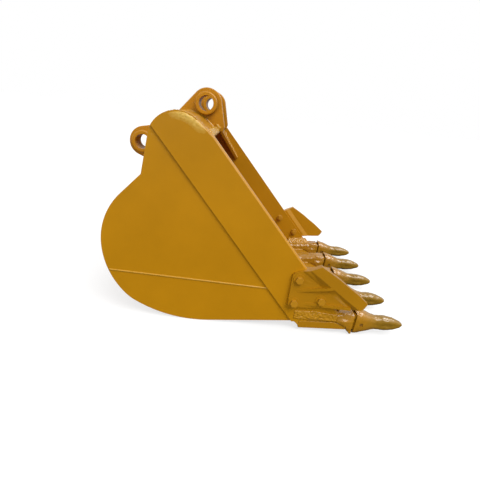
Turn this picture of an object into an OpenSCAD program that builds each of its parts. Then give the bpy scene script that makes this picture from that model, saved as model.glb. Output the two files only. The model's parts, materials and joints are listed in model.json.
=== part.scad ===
// Excavator digging bucket: welded shell, pin ears, lip, adapters, bolted teeth and side cutters.
// Drawn with the floor plate level and the stick pin at the origin, +X out of the mouth, +Y across,
// then turned by rest_tilt so that it stands on its heel and on the collars of its teeth.

/* [Overall] */
// Width over the outer faces of the two side bars
bucket_w = 1300; // [1100:5:1500]
// Height of the stick pin above the underside of the floor plate
pin_height = 1118; // [1090:1:1150]
// Angle of the mouth edge below level
mouth_angle = 54.8; // [53:0.1:56]

/* [Pins and ears] */
// Diameter of the four pin bores
pin_bore_d = 80; // [64:1:90]
// Straight distance between the stick pin and the link pin
pin_span = 415; // [395:1:440]
// Slope of the line from the stick pin back to the link pin
pin_slope = 29.2; // [27:0.1:31]
// Clear gap between the inner bosses of the two ears
ear_gap = 290; // [250:1:340]
// Thickness of an ear plate
ear_t = 50; // [36:1:60]
// Radius of the rounded lobe round each pin
lobe_r = 83; // [78:1:88]
// Lean of the front edge of an ear, forward of upright
ear_front_lean = 5.8; // [3:0.1:8]
// Depth of the square nose of an ear below the stick pin
ear_nose_drop = 130; // [122:1:138]
// Corner cut under the nose of an ear
ear_nose_cut = 26; // [16:1:32]
// Angle on the front lobe where the rear edge of the ear leaves it
ear_back_angle = 132.4; // [128:0.1:137]
// Radius of the round bosses
boss_r = 61; // [56:0.5:64]
// Length of the bosses on the outside of an ear
outer_boss_t = 50; // [30:1:60]
// Length of the bosses on the inside of an ear
inner_boss_t = 40; // [24:1:50]
// Bevel round the outer end of a boss
boss_bevel = 5; // [2:0.5:8]

/* [Back and floor] */
// Where the floor plate starts to curve up, in front of the stick pin
heel_start_x = 13; // [-20:1:40]
// Radius of the long heel curve
heel_r = 700; // [660:5:740]
// Turn of the long heel curve
heel_sweep = 33; // [31:0.5:35]
// Radius of the tight curve behind the heel
corner_r = 255; // [235:5:280]
// Turn of the tight curve behind the heel
corner_sweep = 17; // [15:0.5:19]
// Radius of the back curve
back_r = 414; // [395:1:435]
// Turn of the back curve
back_sweep = 40; // [38:0.5:42]
// Radius of the crown curve at the top of the back
crown_r = 348; // [330:1:365]
// Turn of the crown curve
crown_sweep = 49; // [47:0.5:51]
// Thickness of the rolled back and floor plate
wrapper_t = 20; // [14:1:26]
// How far the rolled plate lies inside the edges of the sides
wrapper_inset = 5; // [3:0.5:8]
// How far the rolled plate runs on inside the shoulder
wrapper_run_in = 55; // [40:1:70]
// Length of the floor plate that lies on the lip
floor_lap = 32; // [20:1:45]

/* [Shoulder] */
// Radius of the shoulder above the mouth
hump_r = 142; // [136:1:148]
// Centre of the shoulder behind the stick pin
hump_back = 109; // [104:1:114]
// Centre of the shoulder below the stick pin
hump_drop = 178; // [172:1:184]
// Lean of the rear face of the shoulder from upright
hump_lean = 13.6; // [11:0.1:16]
// Length of the straight slope from the shoulder down to the mouth
hump_front_len = 108; // [98:1:118]
// Slope of that front face below level
hump_front_slope = 45; // [43:0.5:47]
// Thickness of the shoulder plates
hood_t = 20; // [14:1:24]
// Thickness of the throat plate that closes the shoulder from inside
throat_t = 20; // [14:1:24]
// How far the throat plate stays back from the front end of the shoulder
throat_setback = 25; // [15:1:40]

/* [Sides] */
// Thickness of a side bar, along the mouth
bar_t = 34; // [28:1:44]
// Thickness of the side plates
side_t = 24; // [16:1:26]
// Width of a side bar at the top of the mouth
bar_w_top = 215; // [200:1:230]
// Width of a side bar at the lip
bar_w_bottom = 235; // [220:1:250]
// Bevel along the front edge of a side bar
bar_bevel = 8; // [4:0.5:12]
// Height below the stick pin where the two side plates of a side meet, right under it
split_drop = 888; // [860:1:915]
// Fall of that seam towards the front
split_slope = 7.1; // [5:0.1:9]
// Width of the weld bead on that seam
bead_w = 15; // [10:1:20]
// Height of the weld bead on that seam
bead_h = 5; // [3:0.5:8]
// Reach of a corner gusset down the side
gusset_down = 243; // [200:1:260]
// Reach of a corner gusset along the throat plate
gusset_across = 170; // [130:1:200]
// Thickness of a corner gusset
gusset_t = 20; // [12:1:24]
// How far the top of a corner gusset lies inside the mouth
gusset_recess = 31; // [24:1:45]
// Turn of a corner gusset away from the mouth, in degrees
gusset_turn = 8.2; // [0:0.2:10]

/* [Lip] */
// Where the floor starts to droop to the lip, in front of the stick pin
droop_x = 470; // [455:1:485]
// Droop of the lip and teeth below the floor plate
lip_droop = 2.5; // [1.5:0.1:3.5]
// Distance from the start of the droop to the rear edge of the lip
lip_back = 32; // [26:1:45]
// Length of the lip from its rear edge to its front edge
lip_len = 255; // [240:1:265]
// Thickness of the lip
lip_t = 40; // [32:1:44]
// Length of the bevel at the front edge of the lip
lip_bevel_len = 62; // [40:1:80]
// Blunt height left at the front edge of the lip
lip_nose_h = 14; // [8:1:20]

/* [Adapters] */
// Width of an adapter
adapter_w = 104; // [90:1:116]
// Distance from the rear edge of the lip to the rear end of an adapter
adapter_back = 40; // [36:1:60]
// Height of the strap of an adapter above the lip
strap_h = 45; // [36:1:50]
// Length of the sloped rear end of a strap
strap_ramp = 34; // [20:1:44]
// Bevel on the top edges of a strap
strap_bevel = 14; // [8:1:20]
// Length of the swell where the strap rises to the shoulder
swell_len = 48; // [36:1:60]
// Length of the chin under the front edge of the lip
chin_len = 24; // [16:1:32]
// How far the shoulder lies inside the outline of the tooth collar
shoulder_inset = 6; // [3:0.5:9]
// Width of the nose at its root
nose_w = 82; // [72:1:88]
// Height of the nose at its root
nose_h = 92; // [80:1:100]
// Length of the nose
nose_len = 104; // [90:1:116]
// Share of its root size that the nose keeps at its end
nose_end_share = 0.5; // [0.4:0.01:0.6]

/* [Teeth] */
// Length of a tooth from its collar to its tip
tooth_len = 277; // [262:1:292]
// Height of the collar of a tooth
collar_h = 141; // [136:1:146]
// Width of the collar of a tooth
collar_w = 108; // [100:1:114]
// Open joint between the collar and the shoulder of the adapter
joint_gap = 9; // [5:0.5:12]
// Height of the middle line of a tooth above the top of the lip
tip_rise = 1; // [-4:0.5:6]
// Diameter of the cross pin of a tooth
tooth_pin_d = 20; // [16:0.5:24]
// Distance from the collar to the cross pin
tooth_pin_in = 42; // [40:0.5:46]
// How far the ends of the cross pin lie inside the widest part of the tooth
tooth_pin_sunk = 6; // [3:0.5:8]
// Depth of the cross pin below the top of the lip
tooth_pin_drop = 10; // [4:0.5:16]
// Outer diameter of the retainer ring of a cross pin
retainer_d = 40; // [36:0.5:44]
// Thickness of the retainer ring
retainer_t = 8; // [5:0.5:10]

/* [Side cutters] */
// Length of a side cutter
cutter_len = 416; // [400:1:432]
// Height of a side cutter
cutter_h = 241; // [232:1:250]
// Distance from the stick pin forward to the lower rear corner of a side cutter
cutter_x = 437; // [430:1:444]
// Depth of that corner below the stick pin
cutter_drop = 1033; // [1028:1:1036]
// Thickness of the bolted plate of a side cutter
cutter_t = 20; // [14:1:26]
// Thickness of the thick cutting rim of a side cutter
rim_t = 38; // [32:1:42]
// Slope of the cutting rim below level
rim_slope = 40.6; // [39:0.1:42]
// Width of the slope between the plate and the rim
rim_ramp = 34; // [26:1:38]
// How far the inner shoulder of a side cutter reaches in front of the bar
hook_in = 14; // [8:1:20]
// Width of a stiffening rib
rib_w = 15; // [10:1:20]
// Diameter of the cutter bolts
bolt_d = 24; // [20:1:24]
// Height of a bolt head
bolt_head_h = 15; // [12:0.5:18]
// Thickness of a nut
nut_h = 19; // [15:0.5:22]
// Radius of the raised pad under a bolt head
pad_r = 30; // [27:0.5:32]
// Height of the raised pad under a bolt head
pad_h = 4; // [2:0.5:6]
// Thickness of a washer
washer_t = 4; // [2.5:0.5:5]
// How far a bolt stands out of its nut
bolt_end = 6; // [2:0.5:10]
// Clearance round a bolt in its hole
bolt_play = 1; // [0.5:0.25:1.5]

/* [Welds and fits] */
// Leg of the fillet welds at the feet of the ears
ear_weld = 13; // [8:0.5:16]
// Height of the rough weld between a side bar and the lip
lip_weld_h = 40; // [32:1:46]
// How far that weld stands out
lip_weld_t = 8; // [5:0.5:12]
// Length of that weld
lip_weld_len = 232; // [200:1:250]
// Leg of the weld between the inside of a side bar and the strap of the outer adapter
inner_weld = 36; // [24:1:42]
// Length of that weld
inner_weld_len = 120; // [90:1:125]
// Leg of the weld behind the lip, under the floor
floor_weld = 28; // [20:1:31]
// Clearance of a tooth on its nose and of a pin in its hole
fit_gap = 0.3; // [0.2:0.05:0.4]

/* [Hidden] */
$fn = 96;
tooth_count = 5;
arc_step = 3;
overrun = 3 * pin_height;
half_w = bucket_w / 2;
inner_half = half_w - bar_t;
side_out = inner_half + side_t;
pin_r = pin_bore_d / 2;
link_pin = go([0, 0], pin_slope, -pin_span);
ear_in = ear_gap / 2 + inner_boss_t;
ear_out = ear_in + ear_t;

gold = [0.80, 0.50, 0.06];
dark_gold = [0.62, 0.37, 0.05];
pale_gold = [0.86, 0.62, 0.20];

// Plane geometry: points are [forward, up], angles are headings
function polar(a, d) = [d * cos(a), d * sin(a)];
function go(p, a, d) = p + polar(a, d);
function reversed(list) = [for (i = [len(list) - 1 : -1 : 0]) list[i]];
function heading(p, q) = atan2(q.y - p.y, q.x - p.x);
function meet(p, a, q, b) =
    go(p, a, ((q.x - p.x) * sin(b) - (q.y - p.y) * cos(b)) / sin(b - a));
function arc(c, r, a0, a1) =
    let (n = ceil(abs(a1 - a0) / arc_step)) [for (i = [0 : n]) go(c, a0 + (a1 - a0) * i / n, r)];
// Tangent point on a circle of radius r at c, seen from p, to the left (side 1) or right (side -1)
function tangent(p, c, r, side) =
    let (d = norm(c - p)) go(p, heading(p, c) + side * asin(r / d), sqrt(d * d - r * r));

// First point where a line from p with heading a meets the circle of radius r at c
function hit(p, a, c, r) =
    let (to = c - p, ahead = to.x * cos(a) + to.y * sin(a), aside = to.y * cos(a) - to.x * sin(a))
    go(p, a, ahead - sqrt(r * r - aside * aside));

// Back curve: tangent arcs from the floor up to the crown, at depth d inside the outer outline
back_radii = [heel_r, corner_r, back_r, crown_r];
back_sweeps = [heel_sweep, corner_sweep, back_sweep, crown_sweep];
function curve(p, a, d, i = 0) =
    i == len(back_radii) ? [] :
    let (r = back_radii[i] - d, c = go(p, a - 90, r), b = a - back_sweeps[i],
         points = arc(c, r, a + 90, b + 90))
    concat(i == 0 ? points : [for (k = [1 : len(points) - 1]) points[k]],
           curve(points[len(points) - 1], b, d, i + 1));
back_heading = 180 - heel_sweep - corner_sweep - back_sweep - crown_sweep;
function back_curve(d) = curve([heel_start_x, d - pin_height], 180, d);
function crown_end(d) = let (c = back_curve(d)) c[len(c) - 1];

// Droop line of the floor and lip, at depth d inside the outline
function droop_point(d) = go([droop_x, -pin_height], 90 - lip_droop / 2, d / cos(lip_droop / 2));
function lip_point(s, t) = go(go(go(droop_point(wrapper_inset), -lip_droop, lip_back),
                                 -lip_droop, s), 90 - lip_droop, t);

// Shoulder outline at depth d, from the mouth back and down
hump_centre = [-hump_back, -hump_drop];
hump_rear_heading = 270 - hump_lean;
function hump_front(d) = go(hump_centre, 90 - hump_front_slope, hump_r - d);
function hump_rear(d) = go(hump_centre, 180 - hump_lean, hump_r - d);
function hump_line(d) = concat(
    [go(hump_front(d), -hump_front_slope, hump_front_len)],
    arc(hump_centre, hump_r - d, 90 - hump_front_slope, 180 - hump_lean),
    [meet(hump_rear(d), hump_rear_heading, crown_end(wrapper_inset), back_heading)]);
mouth_top = go(hump_front(0), -hump_front_slope, hump_front_len);
shoulder_foot = meet(hump_rear(0), hump_rear_heading, crown_end(0), back_heading);
mouth_bottom = meet(mouth_top, -mouth_angle, lip_point(0, 0), -lip_droop);

// Throat plate: from the end of the rolled plate to the underside of the shoulder plates
wrapper_end = go(meet(hump_rear(0), hump_rear_heading, crown_end(wrapper_inset), back_heading),
                 back_heading, wrapper_run_in);
hood_inside = wrapper_inset + hood_t;
throat_front = go(hump_front(hood_inside), -hump_front_slope, hump_front_len - throat_setback);
throat_heading = heading(wrapper_end, throat_front);

// Seam between a side bar and the side plates, and seam between the two side plates
seam_top = go(mouth_top, -mouth_angle - 90, bar_w_top);
seam_bottom = go(mouth_bottom, -mouth_angle - 90, bar_w_bottom);
seam_heading = heading(seam_top, seam_bottom);
split_point = [0, -split_drop];

// Lip and adapter sizes in the lip's own frame: s forward from its rear edge, t up from its top
shoulder_s = lip_len + chin_len + joint_gap;
collar_s = shoulder_s + joint_gap;
tooth_pitch = (bucket_w - adapter_w) / (tooth_count - 1);
// Side outline of a tooth: share of its length from the collar, share of the collar height from the middle line
tooth_top_shares = [
    [0, 0.485], [0.2, 0.43], [0.29, 0.37], [0.37, 0.3], [0.44, 0.262], [0.66, 0.245],
    [0.74, 0.215], [0.82, 0.165], [0.9, 0.09], [0.97, 0], [1, -0.06]];
tooth_bottom_shares = [
    [0.985, -0.125], [0.93, -0.185], [0.84, -0.25], [0.66, -0.295], [0.55, -0.285],
    [0.45, -0.262], [0.33, -0.31], [0.19, -0.385], [0.115, -0.43], [0.054, -0.515], [0.007, -0.515]];
// Rear edge of the collar, hollowed forward at its middle
collar_edge_shares = [[0.036, -0.32], [0.061, -0.1], [0.061, 0.12], [0.04, 0.32]];
// Half width of a tooth as a share of the collar width
tooth_plan_shares = [
    [0, 0.5], [0.2, 0.49], [0.31, 0.44], [0.42, 0.335], [0.54, 0.33], [0.66, 0.325],
    [0.84, 0.26], [0.95, 0.19], [1, 0.12]];
// Side outline of a side cutter: shares of its length and height from its lower rear corner
cutter_outline_shares = [
    [0, 0.09], [0.045, 0.65], [0.058, 0.79], [0.085, 0.835], [0.25, 0.905], [0.41, 1],
    [0.43, 0.97], [0.5, 0.885], [0.635, 0.71], [0.72, 0.58], [0.855, 0.39], [1, 0.15],
    [0.962, 0.05], [0.93, 0], [0.78, 0], [0.02, 0.045]];
// Places of the three bolts and the two ribs in the same shares
bolt_shares = [[0.14, 0.685], [0.079, 0.145], [0.422, 0.19]];
rib_shares = [[[0.1, 0.43], [0.56, 0.5]], [[0.19, 0.13], [0.79, 0.03]]];
// Where the rear edge of the cutting rim crosses the plate
rim_shares = [0.345, 0.815];

// Height of the saddle between the two lobes of an ear above the middle of the shoulder
saddle_share = 0.62;
// Width across the flats of bolt heads and nuts, in bolt diameters
across_flats_share = 1.5;
shoulder_top = tip_rise + tooth_top_shares[0][1] * collar_h - shoulder_inset;
pin_place = [collar_s + tooth_pin_in, -tooth_pin_drop];
ring_face = nose_half(pin_place.x + retainer_d / 2);

function cutter_at(share) = [cutter_x + share[0] * cutter_len, share[1] * cutter_h - cutter_drop];

// Standing angle: the common tangent of the heel and the lowest corner of the tooth collars
collar_low_share = tooth_bottom_shares[len(tooth_bottom_shares) - 1];
shoulder_foot_t = tip_rise + collar_low_share[1] * collar_h + shoulder_inset;
collar_foot = lip_point(collar_s + collar_low_share[0] * tooth_len,
                        tip_rise + collar_low_share[1] * collar_h);
heel_centre = [heel_start_x, heel_r - pin_height];
rest_tilt = 180 - heading(collar_foot, heel_centre) - asin(heel_r / norm(heel_centre - collar_foot));

// Helpers that place the flat outlines in space
module stand() { rotate([0, -rest_tilt, 0]) children(); }
module slab(y0, y1) { translate([0, y1, 0]) rotate([90, 0, 0]) linear_extrude(y1 - y0) children(); }
// side -1 is the left of the machine's driver (-Y), side 1 the right (+Y)
module on_side(side) { mirror([0, side > 0 ? 1 : 0, 0]) children(); }
// Prism along the line from p to q; its outline is given as [depth to the right of the line, across]
module along(p, q) {
    translate([p.x, 0, p.y]) rotate([0, -heading(p, q), 0]) rotate([0, 90, 0]) linear_extrude(norm(q - p))
        children();
}
// Round bar across the bucket, or a prism with the given number of sides
module rod(p, r, y0, y1, sides = $fn) {
    translate([p.x, y1, p.y]) rotate([90, 0, 0]) cylinder(r = r, h = y1 - y0, $fn = sides);
}
// Everything to the left of the line through p with heading a
module left_of(p, a) {
    polygon([go(p, a, -overrun), go(p, a, overrun), go(go(p, a, overrun), a + 90, overrun),
             go(go(p, a, -overrun), a + 90, overrun)]);
}
module lip_frame() {
    corner = lip_point(0, 0);
    translate([corner.x, 0, corner.y]) rotate([0, lip_droop, 0]) children();
}

// Outlines
module side_outline() {
    polygon(concat([mouth_bottom, mouth_top], arc(hump_centre, hump_r, 90 - hump_front_slope, 180 - hump_lean),
                   [shoulder_foot], reversed(back_curve(0)), [[droop_x, -pin_height]],
                   [go(droop_point(0), -lip_droop, lip_back + lip_len)]));
}
// What lies under the outer faces of the rolled plate and the throat plate
module inside_of_top() {
    polygon([go(wrapper_end, back_heading, -overrun), wrapper_end, throat_front,
             go(throat_front, -hump_front_slope, overrun), go(wrapper_end, -90, 2 * overrun)]);
}
module shoulder_outline(d) {
    foot = meet(hump_rear(d), hump_rear_heading, crown_end(wrapper_inset), back_heading);
    front = go(hump_front(d), -hump_front_slope, hump_front_len);
    polygon(concat([front], arc(hump_centre, hump_r - d, 90 - hump_front_slope, 180 - hump_lean),
                   [go(foot, hump_rear_heading, wrapper_t), go(front, -90 - hump_front_slope, hump_r)]));
}
module lip_outline() {
    polygon([lip_point(0, 0), lip_point(0, -lip_t), lip_point(lip_len, -lip_t),
             lip_point(lip_len, lip_nose_h - lip_t), lip_point(lip_len - lip_bevel_len, 0)]);
}
// Strap of an adapter as the side bars have to clear it, seen from the side
module strap_room() {
    polygon([lip_point(adapter_back, -lip_t), lip_point(adapter_back, 0),
             lip_point(adapter_back + strap_ramp, strap_h), lip_point(collar_s, strap_h),
             lip_point(collar_s, -lip_t)]);
}
module ear_outline() {
    shoulder_r = hump_r - wrapper_inset;
    nose = go([lobe_r, 0], ear_front_lean - 90, ear_nose_drop);
    back_foot = tangent(go([0, 0], ear_back_angle, lobe_r), hump_centre, shoulder_r, -1);
    link_top = go(link_pin, 90, lobe_r);
    saddle = hit(link_top, heading(link_top, go(hump_centre, 90, saddle_share * hump_r)), hump_centre, shoulder_r);
    foot = meet(hump_rear(wrapper_inset), hump_rear_heading, crown_end(wrapper_inset), back_heading);
    link_foot = tangent(foot, link_pin, lobe_r, 1);
    difference() {
        polygon(concat(
            [wrapper_end, throat_front, go(nose, -90 - hump_front_slope / 2, ear_nose_cut), nose],
            arc([0, 0], lobe_r, 0, ear_back_angle),
            arc(hump_centre, shoulder_r, heading(hump_centre, back_foot), heading(hump_centre, saddle)),
            arc(link_pin, lobe_r, 90, 360 + heading(link_pin, link_foot)),
            [foot]));
        circle(pin_r);
        translate(link_pin) circle(pin_r);
    }
}

// Welded shell
module wrapper() {
    color(dark_gold) stand() slab(-inner_half, inner_half) polygon(concat(
        [go(droop_point(wrapper_inset), -lip_droop, lip_back + floor_lap), droop_point(wrapper_inset)],
        back_curve(wrapper_inset),
        [wrapper_end, go(wrapper_end, back_heading - 90, wrapper_t)],
        reversed(back_curve(wrapper_inset + wrapper_t)),
        [droop_point(wrapper_inset + wrapper_t),
         go(droop_point(wrapper_inset + wrapper_t), -lip_droop, lip_back + floor_lap)]));
}
module throat_plate() {
    color(dark_gold) stand() slab(-inner_half, inner_half) intersection() {
        left_of(wrapper_end, back_heading - 90);
        left_of(go(throat_front, throat_heading - 90, throat_t), throat_heading);
        left_of(throat_front, 180 - hump_front_slope);
        left_of(throat_front, throat_heading + 180);
    }
}
module shoulder_plate(side) {
    color(gold) stand() on_side(side) slab(-inner_half, -ear_out) difference() {
        shoulder_outline(wrapper_inset);
        shoulder_outline(hood_inside);
        inside_of_top();
    }
}
module side_plate(side) {
    color(gold) stand() on_side(side) slab(-side_out, -inner_half) intersection() {
        side_outline();
        left_of(seam_top, seam_heading + 180);
        left_of(split_point, -split_slope);
    }
}
module lower_side_plate(side) {
    color(gold) stand() on_side(side) slab(-side_out, -inner_half) intersection() {
        side_outline();
        left_of(seam_top, seam_heading + 180);
        left_of(split_point, 180 - split_slope);
    }
}
module bar_edge_cut() {
    polygon([[2 * bar_bevel, -half_w - bar_bevel], [-bar_bevel, -half_w + 2 * bar_bevel],
             [-bar_bevel, -half_w - bar_bevel]]);
}
module side_bar(side) {
    color(gold) stand() on_side(side) difference() {
        slab(-half_w, -inner_half) difference() {
            intersection() {
                side_outline();
                left_of(seam_top, seam_heading);
            }
            lip_outline();
            strap_room();
        }
        along(go(mouth_top, -mouth_angle, -bar_bevel), mouth_bottom) bar_edge_cut();
        along(hump_front(0), go(mouth_top, -hump_front_slope, bar_bevel)) bar_edge_cut();
        for (share = bolt_shares) rod(cutter_at(share), bolt_d / 2 + bolt_play, -half_w, -inner_half);
    }
}
module corner_gusset(side) {
    front = go(mouth_top, -mouth_angle - 90, gusset_recess);
    inside = go(throat_front, throat_heading - 90, throat_t);
    corner = meet(front, -mouth_angle - gusset_turn, inside, throat_heading);
    color(dark_gold) stand() on_side(side) intersection() {
        translate([corner.x, -inner_half, corner.y]) rotate([0, mouth_angle + gusset_turn, 0])
            translate([0, 0, -gusset_t]) linear_extrude(gusset_t) polygon([
                [-gusset_t, 0], [gusset_down, 0], [gusset_down, gusset_t],
                [gusset_t, gusset_across], [-gusset_t, gusset_across]]);
        slab(-inner_half, 0) left_of(inside, throat_heading + 180);
    }
}

// Pin ears
module ear(side) {
    color(gold) stand() on_side(side) slab(-ear_out, -ear_in) ear_outline();
}
// Boss with its outer end bevelled, on the outside (out 1) or the inside (out -1) of an ear
module boss(side, pin, out, length) {
    face = out > 0 ? ear_out : ear_in;
    color(gold) stand() on_side(side) translate([pin.x, -face, pin.y]) rotate([90 * out, 0, 0])
        rotate_extrude() polygon([
            [pin_r, 0], [boss_r, 0], [boss_r, length - boss_bevel], [boss_r - boss_bevel, length],
            [pin_r, length]]);
}

// Lip and teeth
module lip() {
    color(gold) stand() slab(-half_w, half_w) lip_outline();
}
module at_tooth(i) {
    stand() lip_frame() translate([0, (i - (tooth_count + 1) / 2) * tooth_pitch, 0]) children();
}
function nose_half(s) = nose_w / 2 * (1 - (1 - nose_end_share) * (s - shoulder_s) / nose_len);
// Nose of an adapter, grown all round by play for the pocket of the tooth
module nose(play) {
    end_s = shoulder_s + nose_len;
    intersection() {
        slab(-nose_w, nose_w) polygon([
            [shoulder_s, tip_rise - nose_h / 2 - play], [end_s + play, tip_rise - nose_end_share * nose_h / 2 - play],
            [end_s + play, tip_rise + nose_end_share * nose_h / 2 + play], [shoulder_s, tip_rise + nose_h / 2 + play]]);
        translate([0, 0, -collar_h]) linear_extrude(2 * collar_h) polygon([
            [shoulder_s, -nose_w / 2 - play], [end_s + play, -nose_half(end_s) - play],
            [end_s + play, nose_half(end_s) + play], [shoulder_s, nose_w / 2 + play]]);
    }
}
module adapter(i) {
    color(pale_gold) at_tooth(i) difference() {
        union() {
            slab(-adapter_w / 2, adapter_w / 2) polygon([
                [adapter_back, 0], [adapter_back + strap_ramp, strap_h],
                [shoulder_s - swell_len, strap_h], [shoulder_s, shoulder_top],
                [shoulder_s, shoulder_foot_t], [lip_len + chin_len, shoulder_foot_t],
                [lip_len, -lip_t], [lip_len, lip_nose_h - lip_t], [lip_len - lip_bevel_len, 0]]);
            nose(0);
        }
        for (side = [-1, 1]) on_side(side) translate([0, -adapter_w / 2, strap_h]) rotate([0, 90, 0])
            linear_extrude(shoulder_s - swell_len)
                polygon([[strap_bevel, 0], [0, strap_bevel], [-strap_bevel, 0], [0, -strap_bevel]]);
        rod(pin_place, tooth_pin_d / 2 + fit_gap, -adapter_w / 2, adapter_w / 2);
        rod(pin_place, retainer_d / 2 + fit_gap, -adapter_w / 2, retainer_t - ring_face);
    }
}
module tooth(i) {
    color(gold) at_tooth(i) difference() {
        intersection() {
            slab(-collar_w / 2, collar_w / 2) polygon([
                for (share = concat(tooth_top_shares, tooth_bottom_shares, collar_edge_shares))
                    [collar_s + share[0] * tooth_len, tip_rise + share[1] * collar_h]]);
            translate([0, 0, -collar_h]) linear_extrude(2 * collar_h) polygon(concat(
                [for (share = tooth_plan_shares) [collar_s + share[0] * tooth_len, -share[1] * collar_w]],
                reversed([for (share = tooth_plan_shares) [collar_s + share[0] * tooth_len, share[1] * collar_w]])));
        }
        nose(fit_gap);
        rod(pin_place, tooth_pin_d / 2 + fit_gap, -collar_w, collar_w);
    }
}
module tooth_pin(i) {
    color(dark_gold) at_tooth(i) rod(pin_place, tooth_pin_d / 2, tooth_pin_sunk - collar_w / 2, collar_w / 2 - tooth_pin_sunk);
}
module pin_retainer(i) {
    color(dark_gold) at_tooth(i) difference() {
        rod(pin_place, retainer_d / 2, -ring_face, retainer_t - ring_face);
        rod(pin_place, tooth_pin_d / 2 + fit_gap, -collar_w, collar_w);
    }
}

// Side cutters
module rib(p, q) {
    length = norm(q - p);
    translate([p.x, 0, p.y]) rotate([0, -heading(p, q), 0]) translate([0, 0, -rib_w / 2]) linear_extrude(rib_w)
        polygon([[0, -half_w], [length, -half_w], [length, -half_w - rim_t],
                 [length - rim_ramp, -half_w - rim_t], [0, -half_w - cutter_t]]);
}
module side_cutter(side) {
    rim = cutter_at(rim_shares);
    color(gold) stand() on_side(side) difference() {
        union() {
            intersection() {
                slab(-half_w - rim_t, -half_w) cutter_outline();
                along(go(rim, -rim_slope, -cutter_len), go(rim, -rim_slope, cutter_len)) polygon([
                    [-cutter_len, -half_w], [-cutter_len, -half_w - rim_t], [0, -half_w - rim_t],
                    [rim_ramp, -half_w - cutter_t], [cutter_len, -half_w - cutter_t], [cutter_len, -half_w]]);
            }
            intersection() {
                slab(-half_w - cutter_t, hook_in - half_w) cutter_outline();
                along(mouth_top, mouth_bottom) polygon([
                    [0, -half_w - cutter_t], [0, hook_in - half_w], [-hook_in, hook_in - half_w],
                    [-3 * hook_in, -half_w], [-3 * hook_in, -half_w - cutter_t]]);
            }
            for (ends = rib_shares) rib(cutter_at(ends[0]), cutter_at(ends[1]));
            for (share = bolt_shares) rod(cutter_at(share), pad_r, -half_w - cutter_t - pad_h, -half_w);
        }
        for (share = bolt_shares) rod(cutter_at(share), bolt_d / 2 + bolt_play, -half_w - rim_t, -half_w);
    }
}
module cutter_outline() { polygon([for (share = cutter_outline_shares) cutter_at(share)]); }
module cutter_bolts(side) {
    head_face = -half_w - cutter_t - pad_h;
    color(dark_gold) stand() on_side(side) for (share = bolt_shares) {
        rod(cutter_at(share), across_flats_share * bolt_d / sqrt(3), head_face - bolt_head_h, head_face, 6);
        rod(cutter_at(share), bolt_d / 2, head_face, washer_t + nut_h + bolt_end - inner_half);
    }
}
module cutter_washers(side) {
    color(dark_gold) stand() on_side(side) for (share = bolt_shares) difference() {
        rod(cutter_at(share), bolt_d, -inner_half, washer_t - inner_half);
        rod(cutter_at(share), bolt_d / 2 + fit_gap, -inner_half, washer_t - inner_half);
    }
}
module cutter_nuts(side) {
    color(dark_gold) stand() on_side(side) for (share = bolt_shares) difference() {
        rod(cutter_at(share), across_flats_share * bolt_d / sqrt(3), washer_t - inner_half, washer_t + nut_h - inner_half, 6);
        rod(cutter_at(share), bolt_d / 2, washer_t - inner_half, washer_t + nut_h - inner_half);
    }
}

// Weld beads
module side_weld(side) {
    bar_step = half_w - side_out;
    color(pale_gold) stand() on_side(side) {
        intersection() {
            along(go(split_point, 180 - split_slope, overrun / 2), go(split_point, -split_slope, overrun / 2))
                polygon([[-bead_w / 2, -side_out], [-bead_w / 4, -side_out - bead_h],
                         [bead_w / 4, -side_out - bead_h], [bead_w / 2, -side_out]]);
            slab(-side_out - bead_h, -side_out) intersection() {
                side_outline();
                left_of(go(seam_top, seam_heading - 90, 2 * bar_step), seam_heading + 180);
            }
        }
        along(go(hit(go(seam_top, seam_heading, -2 * bar_w_top), seam_heading, hump_centre, hump_r), seam_heading, bar_step),
              go(meet(seam_top, seam_heading, [heel_start_x, -pin_height], 0), seam_heading, -bar_step))
            polygon([[0, -side_out], [bar_step, -side_out], [0, -side_out - bar_step]]);
    }
}
module ear_weld(side) {
    foot = meet(hump_rear(wrapper_inset), hump_rear_heading, crown_end(wrapper_inset), back_heading);
    front = go(hump_front(wrapper_inset), -hump_front_slope, hump_front_len);
    color(pale_gold) stand() on_side(side) {
        along(hump_front(wrapper_inset), front) ear_fillet();
        along(foot, hump_rear(wrapper_inset)) ear_fillet();
        intersection() {
            translate([hump_centre.x, 0, hump_centre.y]) rotate([90, 0, 0]) rotate_extrude()
                translate([hump_r - wrapper_inset, 0]) polygon([
                    [0, ear_out], [ear_weld, ear_out], [0, ear_out + ear_weld]]);
            slab(-ear_out - ear_weld, -ear_out) polygon([
                hump_centre, go(hump_centre, 90 - hump_front_slope, 2 * hump_r),
                go(hump_centre, 90, 4 * hump_r), go(hump_centre, 180 - hump_lean, 2 * hump_r)]);
        }
        along(wrapper_end, throat_front) polygon([
            [0, -ear_in], [-ear_weld, -ear_in], [0, ear_weld - ear_in]]);
    }
}
module ear_fillet() { polygon([[0, -ear_out], [-ear_weld, -ear_out], [0, -ear_out - ear_weld]]); }
module lip_weld(side) {
    top = strap_h + lip_weld_h / 3;
    color(pale_gold) stand() on_side(side) lip_frame() {
        translate([-lip_back, 0, top]) rotate([0, 90, 0]) linear_extrude(lip_weld_len) polygon([
            [0, -half_w], [lip_weld_t, -half_w - lip_weld_t], [lip_weld_h - lip_weld_t, -half_w - lip_weld_t],
            [lip_weld_h, -half_w]]);
        translate([adapter_back + strap_ramp, 0, strap_h]) rotate([0, 90, 0]) linear_extrude(inner_weld_len) polygon([
            [0, -inner_half], [-inner_weld, -inner_half], [0, inner_weld - inner_half]]);
    }
}
module lip_floor_weld() {
    color(pale_gold) stand() difference() {
        slab(-half_w, half_w) polygon([lip_point(0, 0), lip_point(-floor_weld, 0), lip_point(0, -floor_weld)]);
        for (side = [-1, 1]) on_side(side) slab(-half_w, -inner_half) side_outline();
    }
}

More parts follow.
